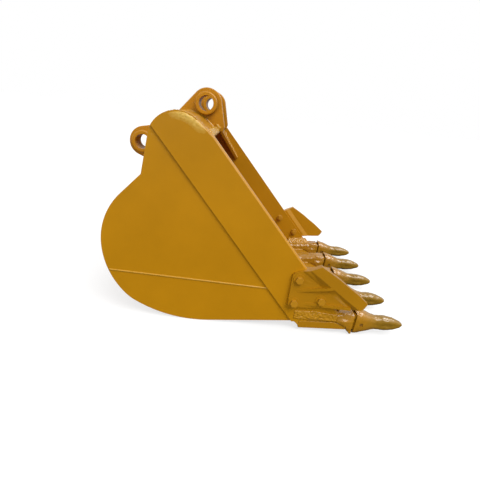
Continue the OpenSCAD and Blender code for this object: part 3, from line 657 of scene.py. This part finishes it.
# The hole of the cross pin
def drillTooth(piece, middle):
    radius = toothShape["pinRadius"] * mm
    at = lipToRow(place["collar"] + toothShape["pinIn"], middle, -toothShape["pinDrop"])
    bm = bmesh.new()
    bmesh.ops.create_cone(bm, cap_ends=True, segments=toothShape["drillSides"], radius1=radius,
                          radius2=radius, depth=toothShape["drillLength"],
                          matrix=Matrix.Translation(at) @ Matrix.Rotation(math.pi / 2, 4, "X"))
    mesh = bpy.data.meshes.new("drill")
    bm.to_mesh(mesh)
    bm.free()
    drill = bpy.data.objects.new("drill", mesh)
    bpy.context.collection.objects.link(drill)
    hole = piece.modifiers.new("hole", "BOOLEAN")
    hole.object, hole.solver = drill, "EXACT"
    applyModifiers(piece)
    bpy.data.objects.remove(drill, do_unlink=True)


def makeTooth(i):
    middle, hollow, wall = toothY(i), toothJoint["hollow"], toothShape["wall"]
    rings = [toothRing(middle, 0.0, wall, toothShape["pocket"], hollow * toothShape["pocketBow"]),
             toothRing(middle, 0.0, wall, toothShape["rimDepth"], hollow),
             toothRing(middle, 0.0, wall - toothShape["rimRound"], 0.0, hollow),
             toothRing(middle, 0.0, toothShape["rimEdge"], 0.0, hollow)]
    for share in np.linspace(0, 1, toothShape["steps"] + 1) ** toothShape["packing"]:
        fade = max(0.0, 1 - share / toothShape["bowFade"])
        rings.append(toothRing(middle, share, 0.0, toothShape["rimLead"] if share == 0 else 0.0,
                               hollow * fade))
    bm = bmesh.new()
    loftRings(bm, rings, nested=True)
    piece = addPiece("toothCast%d" % (i + 1), bm, "tooth_paint", ("tooth_%d" % (i + 1),),
                     cast["toothSharp"])
    drillTooth(piece, middle)
    roughen(piece, cast["toothLump"], cast["toothGrain"], i * 3.0, cast["toothSharp"])


for i in range(place["toothCount"]):
    makeTooth(i)
print("teeth done")


# The rolled plate from the heel up, depth under its outer face
def backCurve(depth):
    points = []
    p, heading = np.array((place["heelStart"], depth - place["pinHeight"])), 180.0
    for radius, sweep in place["backArcs"]:
        r = radius - depth
        c = go(p, heading - 90, r)
        for k in range(place["arcSteps"] + 1):
            points.append(go(c, heading + 90 - sweep * k / place["arcSteps"], r))
        p, heading = points[-1], heading - sweep
    return points


# The farthest place where a line crosses a curve
def crossing(p, a, curve):
    line = polar(a, 1.0)
    normal = np.array((-line[1], line[0]))
    best = None
    for q, r in zip(curve, curve[1:]):
        dq, dr = np.dot(q - p, normal), np.dot(r - p, normal)
        if dq * dr <= 0 and dq != dr:
            hit = q + (r - q) * dq / (dq - dr)
            if best is None or np.hypot(*(hit - p)) > np.hypot(*(best - p)):
                best = hit
    return best


slopeAngle = 90 - place["humpSlope"]  # round the shoulder, where its straight edge starts
mouthTop = go(go(humpCentre, slopeAngle, place["humpRadius"]), -place["humpSlope"], place["humpFront"])
mouthBottom = meet(mouthTop, -place["mouthAngle"], lipPoint(0, 0), -place["droop"])
seamTop = go(mouthTop, -place["mouthAngle"] - 90, place["barTop"])
seamBottom = go(mouthBottom, -place["mouthAngle"] - 90, place["barBottom"])
seamHeading = math.degrees(math.atan2(*(seamBottom - seamTop)[::-1]))
plateIn = place["halfWidth"] - place["barThick"]
plateOut = plateIn + place["plateThick"]
inset = place["plateInset"]

# The shoulder plate's outer face, from its front end back to the rolled plate
shoulderRadius = place["humpRadius"] - inset
shoulderGap, shoulderSteps = 12.0, 18
slopeEnd = go(go(humpCentre, slopeAngle, shoulderRadius), -place["humpSlope"],
              place["humpFront"] - shoulderGap)
shoulder = [slopeEnd] + [go(humpCentre, a, shoulderRadius)
                         for a in np.linspace(slopeAngle, 180 - place["humpLean"], shoulderSteps)]
shoulderFoot = meet(shoulder[-1], 270 - place["humpLean"], backCurve(inset)[-1], place["backHeading"])
shoulder.append(shoulderFoot)

splitWeld = {"size": 5.0, "ripple": 0.6, "sunk": 1.0, "rearGap": 6.0}
seamWeld = {"size": 2.5, "proud": 2.0, "topGap": 14.0, "bottomGap": 6.0, "seed": 5}


# Welds between the two side plates, and between them and the side bar
def weldSides(side, sign):
    bm = bmesh.new()
    splitAt = np.array((0.0, -place["splitDrop"]))
    rear = crossing(splitAt, 180 - place["splitSlope"], backCurve(0)) + (splitWeld["rearGap"], 0)
    front = meet(splitAt, -place["splitSlope"], seamTop, seamHeading)
    weldBead(bm, rowPath((rear, front), sign * (plateOut - splitWeld["sunk"])), splitWeld["size"],
             ripple=splitWeld["ripple"], seed=sign)
    # The split bead is painted pale: a painted highlight
    addWeld("splitBead" + side, bm, finish=highlightWeldPaint)

    bm = bmesh.new()
    top = meet(go(humpCentre, 180 - place["humpLean"], place["humpRadius"]), 270 - place["humpLean"],
               seamTop, seamHeading)
    floorLine = [np.array((x, -place["pinHeight"])) for x in (place["floorFrom"], place["droopStart"])]
    bottom = crossing(seamTop, seamHeading, floorLine)
    ends = go(top, seamHeading, seamWeld["topGap"]), go(bottom, seamHeading, -seamWeld["bottomGap"])
    weldBead(bm, rowPath(ends, sign * (plateOut + seamWeld["proud"])), seamWeld["size"],
             seed=seamWeld["seed"] + sign)
    # The bead along the side bar is painted dark: a painted shadow at the bar's step
    addWeld("sideBead" + side, bm, ("side_weld_" + side.lower(),), seamShadowPaint)


earWeld = {"size": 10.0, "gap": 2.0, "ripple": 1.3, "pitch": 9.0, "footLift": 4.0, "throatDrop": 20.0,
           "throatBack": 25.0, "startShare": 0.02, "endShare": 0.97, "outerSeed": 9, "innerSeed": 12}


# Welds on both faces of an ear: to the shoulder plate outside, to the throat plate inside
def weldEar(side, sign):
    bm = bmesh.new()
    weldBead(bm, rowPath(shoulder, sign * (place["earOut"] + earWeld["gap"])), earWeld["size"],
             ripple=earWeld["ripple"], pitch=earWeld["pitch"], seed=earWeld["outerSeed"] + sign)
    wrapEnd = go(shoulderFoot, place["backHeading"], place["runIn"])
    throatTop = go(go(humpCentre, slopeAngle, shoulderRadius - earWeld["throatDrop"]), -place["humpSlope"],
                   place["humpFront"] - earWeld["throatBack"])
    inner = [shoulderFoot + earWeld["footLift"]] + [
        wrapEnd + (throatTop - wrapEnd) * earWeld[share] for share in ("startShare", "endShare")]
    weldBead(bm, rowPath(inner, sign * (place["earIn"] - earWeld["gap"])), earWeld["size"],
             ripple=earWeld["ripple"], pitch=earWeld["pitch"], seed=earWeld["innerSeed"] + sign)
    addWeld("earBead" + side, bm, ("ear_weld_" + side.lower(),))


lipWeld = {"rows": 6, "size": 5.6, "ripple": 1.0, "pitch": 7.0, "steps": 44, "from": -28, "fromVary": 8,
           "to": 202, "toVary": 10, "dropFrom": 70, "dropRun": 135, "foot": 19, "footDrop": 8, "head": 58,
           "headDrop": 17, "proud": 0.5, "sway": 1.5, "lift": 3.5, "wave": 0.05, "seed": 20,
           "fromSeed": 3, "toSeed": 8, "swaySeed": 7}
innerWeld = {"rows": 5, "size": 9.0, "ripple": 2.4, "pitch": 10.0, "steps": 30, "from": 60, "to": 232,
             "shorter": 6, "leg": 36.0, "base": 45, "raise": 2, "steep": 0.75, "flat": 0.8, "lift": 3.0,
             "wave": 0.04, "liftSeed": 5, "seed": 70}


# Rough capping weld between the side bar and the lip: several passes side by side, outside and inside
def weldLip(side, sign):
    bm = bmesh.new()
    w = lipWeld
    for row in range(w["rows"]):
        start = w["from"] + w["fromVary"] * wander(row, w["fromSeed"], sign)
        end = w["to"] + w["toVary"] * wander(row, w["toSeed"], sign)
        path = []
        for s in np.linspace(start, end, w["steps"]):
            share = ramp(s, w["dropFrom"], w["dropRun"])
            foot, head = w["foot"] - w["footDrop"] * share, w["head"] - w["headDrop"] * share
            sway = w["sway"] * wander(s * w["wave"], w["swaySeed"] + row, sign)
            y = place["halfWidth"] + w["proud"] + sway
            t = foot + (head - foot) * row / (w["rows"] - 1)
            path.append(lipToRow(s, sign * y, t + w["lift"] * wander(s * w["wave"], row * 2, sign)))
        weldBead(bm, path, w["size"], ripple=w["ripple"], pitch=w["pitch"] + row, seed=w["seed"] + row + sign)
    w = innerWeld
    for row in range(w["rows"]):
        share = row / (w["rows"] - 1)
        up, inward = w["leg"] * (1 - share) + w["raise"], w["leg"] * share
        y, t = sign * (plateIn - inward * w["flat"]), w["base"] + up * w["steep"]
        path = [lipToRow(s, y, t + w["lift"] * wander(s * w["wave"], row, w["liftSeed"] + sign))
                for s in np.linspace(w["from"], w["to"] - w["shorter"] * (w["rows"] - 1 - row), w["steps"])]
        weldBead(bm, path, w["size"], ripple=w["ripple"], pitch=w["pitch"], seed=w["seed"] + row + sign)
    lipBead = addWeld("lipBead" + side, bm, ("lip_weld_" + side.lower(),))
    meltPiece(lipBead, cast["weldVoxel"], cast["weldPasses"])
    roughen(lipBead, cast["weldLump"], cast["weldGrain"], sign)


hoodWeld = {"size": 7.0, "inward": (0.0, 9.0), "thinner": 2, "sunk": 4.0, "ripple": 2.0, "pitch": 11.0,
            "stopShort": 3, "seed": 60}
frontWeld = {"size": 12.0, "ripple": 2.0, "pitch": 12.0, "rows": 3, "rowStep": 0.8, "steps": 16, "gap": 4,
             "wave": 0.5, "lift": 3, "seed": 64, "climb": 30.0, "climbAngle": 62.0, "climbGap": 3.0,
             "climbStep": 1.2, "climbEnd": 0.95, "climbSeed": 62, "lumpSeed": 5}


# Rough weld along the outer edge of the shoulder plate, and a heavy one across its front end and up the ear
def weldShoulder(side, sign):
    bm = bmesh.new()
    w = hoodWeld
    for row, inward in enumerate(w["inward"]):
        y = sign * (plateIn - w["sunk"] - inward)
        weldBead(bm, rowPath(shoulder[:-w["stopShort"]], y), w["size"] - w["thinner"] * row,
                 ripple=w["ripple"], pitch=w["pitch"], seed=w["seed"] + sign + row)
    hoodBead = addWeld("hoodBead" + side, bm)

    bm = bmesh.new()
    w = frontWeld
    for step in (0, 1):
        start = go(slopeEnd, 180 - place["humpSlope"], w["size"] * w["climbStep"] * step)
        ends = start, go(start, w["climbAngle"], w["climb"])
        weldBead(bm, rowPath(ends, sign * (place["earOut"] + w["climbGap"])), w["size"],
                 seed=w["climbSeed"] + sign + step, end=w["climbEnd"])
    inner, outer = place["earOut"] + w["gap"], plateIn - w["gap"]
    for row in range(w["rows"]):
        at = go(slopeEnd, 180 - place["humpSlope"], w["size"] * w["rowStep"] * row)
        path = [toRow(at[0], sign * (inner + (outer - inner) * k / w["steps"]),
                      at[1] + w["lift"] * wander(k * w["wave"], row, sign)) for k in range(w["steps"] + 1)]
        weldBead(bm, path, w["size"], ripple=w["ripple"], pitch=w["pitch"], seed=w["seed"] + sign + row)
    # The front bead is painted pale: a painted highlight
    frontBead = addWeld("frontBead" + side, bm, finish=highlightWeldPaint)
    for piece in (hoodBead, frontBead):
        meltPiece(piece, cast["weldVoxel"], cast["weldPasses"])
        roughen(piece, cast["weldLump"], cast["weldGrain"], w["lumpSeed"] + sign)


crownPatch = {
    "columns": 70,
    "rows": 26,
    "from": 108.0,  # degrees round the hump where it starts
    "slope": 78.0,  # how far it runs down the straight edge
    "wide": 52.0,
    "edge": 1.5,
    "raised": 2.8,
    "raiseShare": 0.16,
    "lump": 1.7,
    "sunk": 0.4,
    "rounding": 3.0,
    "roundShare": 0.1,
    "back": 6.0,  # how deep its back lies in the bar
    "endFade": 0.9,  # how it fades at both ends and inwards, and at its outer edge
    "innerFade": 1.3,
    "innerReach": 1.45,
    "outerTone": 0.5,
    "outerRamp": 2.2,
    "grain": (9, 6),  # lumps along it in mm, and how many across it
    "finerGrain": (4, 14),
    "finerLump": 0.6,
    # strength of the painted highlight, and how it varies
    "sheenGrain": (12, 5),
    "sheenFull": 0.9,
    "sheenVary": 0.5,
    "sheenSeed": 4,
}
crownArc = math.radians(crownPatch["from"] - slopeAngle) * place["humpRadius"]


# A place on the side bar's face: run along its edge from the patch's start, reach from the hump's centre
def crownPoint(run, reach):
    if run < crownArc:
        return go(humpCentre, crownPatch["from"] - math.degrees(run / place["humpRadius"]), reach)
    return go(go(humpCentre, slopeAngle, reach), -place["humpSlope"], run - crownArc)


def crownLumps(grain, run, share, seed):
    along, across = crownPatch[grain]
    return wander(run / along, share * across, seed)


# Weld built up over the shoulder of the side bar and ground back, its pale sheen a painted highlight held in
# the fade attribute
def makeCrown(side, sign):
    c = crownPatch
    edge = place["humpRadius"] - c["edge"]
    bm = bmesh.new()
    # Per point strength of the painted highlight
    fade = bm.verts.layers.float.new("fade")
    rings, sheenRings = [], []
    for k in range(c["columns"] + 1):
        u = k / c["columns"]
        run = u * (crownArc + c["slope"])
        ring, ringSheen = [], []
        for j in range(c["rows"] + 1):
            v = j / c["rows"]
            full = (math.sin(math.pi * u) ** c["endFade"] *
                    min(1.0, c["innerReach"] * (1 - v)) ** c["innerFade"] *
                    min(1.0, c["outerTone"] + c["outerRamp"] * v))
            finer = c["finerLump"] * crownLumps("finerGrain", run, v, sign)
            lumps = crownLumps("grain", run, v, sign) + finer
            bump = full * (c["raised"] * min(1.0, v / c["raiseShare"]) + c["lump"] * lumps)
            rounding = c["rounding"] * max(0.0, 1 - v / c["roundShare"])
            p = crownPoint(run, edge - c["wide"] * v)
            ring.append(toRow(p[0], sign * (place["halfWidth"] - c["sunk"] + bump - rounding), p[1]))
            sheenAmount = c["sheenFull"] + c["sheenVary"] * crownLumps("sheenGrain", run, v, c["sheenSeed"] + sign)
            ringSheen.append(max(0.0, full * sheenAmount))
        behind = [crownPoint(run, reach) for reach in (edge - c["wide"], edge)]
        rings.append(ring + rowPath(behind, sign * (place["halfWidth"] - c["back"])))
        sheenRings.append(ringSheen + [0.0, 0.0])
    for ring, ringSheen in zip(loftRings(bm, rings), sheenRings):
        for vertex, value in zip(ring, ringSheen):
            vertex[fade] = value
    addPiece("crownPatch" + side, bm, "body_paint", (), 60.0, crownSheenPaint)


gussetWeld = {"size": 5.5, "sunk": 3.0, "gap": 4, "seed": 27}
shellWeld = {"start": 468.0, "plate": 20, "outerSize": 4.0, "outerSunk": 1.0, "outerSeed": 30,
             "innerSize": 7.0, "innerSunk": 2.0, "innerSeed": 33}


# Welds along the corner gusset, and on both faces of the rolled plate where it meets the sides
def weldShell(side, sign):
    bm = bmesh.new()
    top = go(mouthTop, -place["mouthAngle"] - 90, place["gussetRecess"])
    ends = [go(top, -place["mouthAngle"] - place["gussetTurn"], distance)
            for distance in (gussetWeld["gap"], place["gussetDown"] - gussetWeld["gap"])]
    weldBead(bm, rowPath(ends, sign * (plateIn - gussetWeld["sunk"])), gussetWeld["size"],
             seed=gussetWeld["seed"] + sign)
    # The gusset bead is painted pale: a painted highlight along the gusset's edge
    addWeld("gussetBead" + side, bm, finish=highlightWeldPaint)

    bm = bmesh.new()
    for face, depth in (("outer", inset), ("inner", inset + shellWeld["plate"])):
        curve = [np.array((shellWeld["start"], depth - place["pinHeight"]))] + backCurve(depth)
        weldBead(bm, rowPath(curve, sign * (plateIn - shellWeld[face + "Sunk"])), shellWeld[face + "Size"],
                 seed=shellWeld[face + "Seed"] + sign)
    addWeld("shellBead" + side, bm)


for side, sign in (("Left", -1), ("Right", 1)):
    weldSides(side, sign)
    weldEar(side, sign)
    weldLip(side, sign)
    weldShoulder(side, sign)
    makeCrown(side, sign)
    weldShell(side, sign)

adapterWeld = {"size": 8.0, "ripple": 1.4, "pitch": 9.0, "from": 40.0, "to": 182.0, "beside": 53.0,
               "rear": 39.0, "across": 50.0, "above": 1.5, "besideSeed": 40, "rearSeed": 50}


# Welds beside and behind the adapters; the lip welds take the outer sides of the first and the last
def weldAdapters():
    w = adapterWeld
    bm = bmesh.new()
    for i in range(place["toothCount"]):
        middle = toothY(i)
        paths = [([lipToRow(s, middle + edge * w["beside"], w["above"]) for s in (w["from"], w["to"])],
                  w["besideSeed"] + i + edge)
                 for edge in (-1, 1) if 0 <= i + edge < place["toothCount"]]
        paths.append(([lipToRow(w["rear"], middle + edge * w["across"], w["above"]) for edge in (-1, 1)],
                      w["rearSeed"] + i))
        for path, seed in paths:
            weldBead(bm, path, w["size"], ripple=w["ripple"], pitch=w["pitch"], seed=seed)
    addWeld("adapterBeads", bm)


roundedNode("lip_floor_weld", edgeRadius["weld"])
weldAdapters()
print("welds done")

stage = {
    "floorSize": 160,
    "floorGap": 0.0005,
    "floorShade": 0.30,
    "floorGlow": 0.72,
    "floorRough": 0.9,
    "behind": 0.8,  # strength of the surroundings behind the far side and before the near one
    "before": 0.4,
    "below": 0.15,
    "belowFrom": -0.3,
    "belowTo": 0.1,
    "backdrop": 1.0,  # what shows behind the object
}
bpy.ops.mesh.primitive_plane_add(size=stage["floorSize"],
                                 location=(0, 0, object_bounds()[0][2] - stage["floorGap"]))
floor = bpy.context.object
floor.name = "floor"
floorPaint = bpy.data.materials.new("floorPaint")
floorPaint.use_nodes = True
floorLook = {
    "Base Color": (stage["floorShade"],) * 3 + (1,),
    "Emission Color": (1, 1, 1, 1),
    "Emission Strength": stage["floorGlow"],
    "Specular IOR Level": 0.0,
    "Roughness": stage["floorRough"],
}
for socket, value in floorLook.items():
    floorPaint.node_tree.nodes["Principled BSDF"].inputs[socket].default_value = value
floor.data.materials.append(floorPaint)
floor.visible_diffuse = False  # a white floor would lighten the undersides
floor.visible_glossy = False

world = bpy.data.worlds.new("studio")
bpy.context.scene.world = world
world.use_nodes = True
sky = world.node_tree
skyWay = addNode(sky, "SeparateXYZ", {"Vector": addNode(sky, "TexCoord").outputs["Generated"]}).outputs
around = addNode(sky, "MapRange", {"Value": skyWay["Y"], "From Min": -1.0, "To Min": stage["before"],
                                   "To Max": stage["behind"]})
under = addNode(sky, "MapRange", {"Value": skyWay["Z"], "From Min": stage["belowFrom"],
                                  "From Max": stage["belowTo"], "To Min": stage["below"]})
strength = addNode(sky, "MapRange", {
    "Value": addNode(sky, "LightPath").outputs["Is Camera Ray"],
    "To Min": multiply(sky, around.outputs["Result"], under.outputs["Result"]),
    "To Max": stage["backdrop"],
})
sky.nodes["Background"].inputs["Color"].default_value = (1, 1, 1, 1)
sky.links.new(strength.outputs["Result"], sky.nodes["Background"].inputs["Strength"])
bpy.context.scene.view_settings.view_transform = "Standard"

lamps = (
    # name, place, size, power, aim
    ("front", (3.6, -0.9, 1.6), 2.4, 25.0, (0.2, 0.0, -0.5)),
    ("rim", (3.0, 0.3, 2.3), 1.4, 75.0, (0.2, 0.0, -0.5)),  # only for the shine along edges
)
suns = (
    # name, direction, strength, softness in degrees
    ("key", (-0.5, 0.8, -1.05), 2.2, 36.0),
    ("top", (-0.2, 0.1, -1.0), 0.25, 60.0),
    ("low", (0.3, 1.0, -0.12), 1.15, 25.0),
    ("rear", (0.75, -0.8, -0.12), 1.2, 60.0),  # for the views from behind
)


def addLight(name, kind, energy, way):
    data = bpy.data.lights.new(name, kind)
    data.energy = energy
    light = bpy.data.objects.new(name, data)
    light.rotation_euler = Vector(way).to_track_quat("-Z", "Y").to_euler()
    bpy.context.collection.objects.link(light)
    return light


for name, at, size, power, aim in lamps:
    lamp = addLight(name, "AREA", power, Vector(aim) - Vector(at))
    lamp.location = at
    lamp.data.size = size
    lamp.visible_diffuse = name != "rim"
for name, way, power, softness in suns:
    sun = addLight(name, "SUN", power, way)
    sun.data.angle = math.radians(softness)
    sun.visible_glossy = name not in ("low", "rear")  # these would haze the paint

# The camera stands beside the near side: place in mm as above, angles in radians, focal and frame in pixels
view = {"x": 216.95, "y": -2595.4, "z": -44.99, "yaw": -0.01425, "pitch": 0.30652, "sensor": 36.0,
        "focal": 405.0, "frame": 480.0}


def heading(x, y, z):
    return (toRow(x, y, z) - toRow(0, 0, 0)).normalized()


yaw, pitch = view["yaw"], view["pitch"]
right = heading(math.cos(yaw), -math.sin(yaw), 0)
ahead = heading(math.sin(yaw) * math.cos(pitch), math.cos(yaw) * math.cos(pitch), -math.sin(pitch))
turned = Matrix((right, right.cross(ahead), -ahead)).transposed()
camera = bpy.data.objects.new("camera", bpy.data.cameras.new("camera"))
camera.matrix_world = Matrix.Translation(toRow(view["x"], view["y"], view["z"])) @ turned.to_4x4()
camera.data.sensor_width = view["sensor"]
camera.data.lens = view["sensor"] * view["focal"] / view["frame"]
bpy.context.collection.objects.link(camera)
bpy.context.scene.camera = camera
print("stage done")
